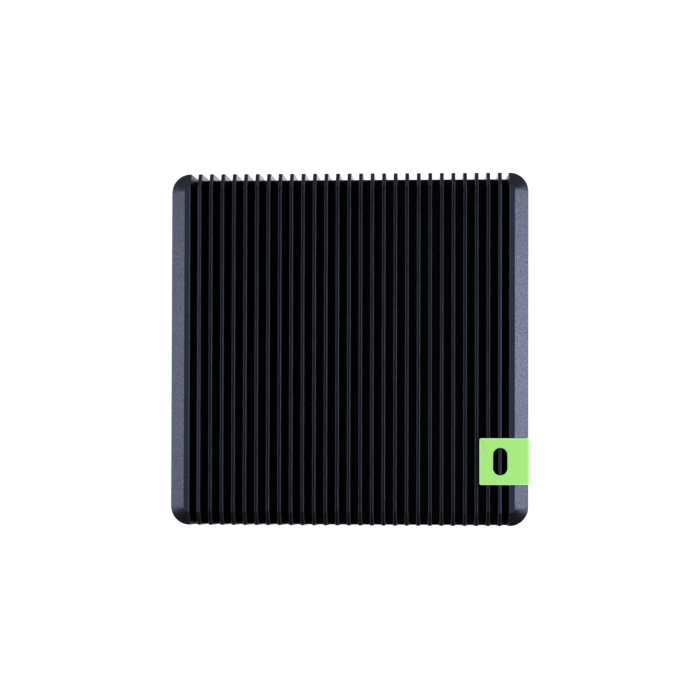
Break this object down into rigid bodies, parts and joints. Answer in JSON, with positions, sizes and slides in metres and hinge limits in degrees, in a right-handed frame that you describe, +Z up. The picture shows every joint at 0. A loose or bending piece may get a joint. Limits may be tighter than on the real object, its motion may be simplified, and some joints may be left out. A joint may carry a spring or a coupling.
{
  "type": "fanless industrial pc",
  "caption": "Compact fanless industrial computer: black finned cast heat-sink housing over a folded steel tray with front and rear ports, a power button and a folded green tab over an edge.",
  "frame": {"origin": "on the standing surface under the middle of the case, at the rubber feet's undersides", "axes": "+Z up through the fins; +X to the right and across the fins, towards the side with the tab; +Y to the rear, along the fins, towards the power and network ports"},
  "size_m": [0.1546, 0.1526, 0.0505],
  "materials": {
    "board_green": "satin green solder mask",
    "bond_pad": "thin white double-sided bonding pad",
    "button_metal": "satin dark grey plastic",
    "can_aluminium": "bright drawn aluminium",
    "card_board": "satin green solder mask with black chips",
    "cast_black": "fine satin black coating on cast aluminium",
    "cell_steel": "bright stamped steel",
    "choke_grey": "matt pressed ferrite",
    "clear_pipe": "clear polished plastic",
    "die_silicon": "polished bare silicon",
    "header_green": "satin green moulded plastic",
    "insert_black": "matt black moulded plastic",
    "insert_blue": "satin blue moulded plastic",
    "led_white": "small moulded lamp",
    "nut_steel": "bright zinc-plated steel",
    "package_green": "satin green laminate",
    "pin_brass": "tinned brass",
    "plug_black": "matt black moulded rubber",
    "rubber_black": "matt moulded rubber",
    "screw_steel": "black zinc-plated steel",
    "shell_steel": "bright nickel-plated sheet steel",
    "socket_black": "matt black moulded plastic",
    "tab_green": "smooth satin light-green paint",
    "thermal_pad": "soft grey heat-conducting pad",
    "tray_black": "fine-textured black powder coat on folded steel"
  },
  "bodies": {
    "case": {"antenna_hole_plugs": "plug_black", "board_screws": "screw_steel", "board_standoffs": "nut_steel", "capacitors": "can_aluminium", "card_posts": "nut_steel", "card_screws": "screw_steel", "chassis_tray": "tray_black", "coin_cell": "cell_steel", "coin_cell_holder": "socket_black", "cpu_die": "die_silicon", "cpu_package": "package_green", "cpu_thermal_pad": "thermal_pad", "display_shell_left": "shell_steel", "display_shell_right": "shell_steel", "display_tongue_left": "insert_black", "display_tongue_right": "insert_black", "edge_tab": "tab_green", "front_usb_c_shell": "shell_steel", "front_usb_c_tongue": "insert_black", "front_usb_insert_left": "insert_blue", "front_usb_insert_right": "insert_blue", "front_usb_shell_left": "shell_steel", "front_usb_shell_right": "shell_steel", "heatsink_housing": "cast_black", "inductors": "choke_grey", "lan_body_left": "insert_black", "lan_body_right": "insert_black", "lan_shield_left": "shell_steel", "lan_shield_right": "shell_steel", "mainboard": "board_green", "memory_module_lower": "card_board", "memory_module_upper": "card_board", "memory_socket_lower": "socket_black", "memory_socket_upper": "socket_black", "mount_nuts": "nut_steel", "power_header": "header_green", "power_pins": "pin_brass", "power_switch_body": "insert_black", "rear_usb_insert": "insert_blue", "rear_usb_shell": "shell_steel", "rubber_feet": "rubber_black", "ssd_card": "card_board", "ssd_socket": "socket_black", "status_leds": "led_white", "status_light_pipes": "clear_pipe", "tab_adhesive": "bond_pad", "tray_screws": "screw_steel", "wifi_card": "card_board", "wifi_socket": "socket_black"},
    "power_button": {"power_button_cap": "button_metal", "power_switch_plunger": "insert_black"}
  },
  "joints": [
    {"name": "power_button_press", "type": "slide", "parent": "case", "child": "power_button", "axis": [0, 1, 0], "range_m": [0, 0.0008], "stiffness_N_per_m": 300, "springref_m": -0.0015}
  ]
}
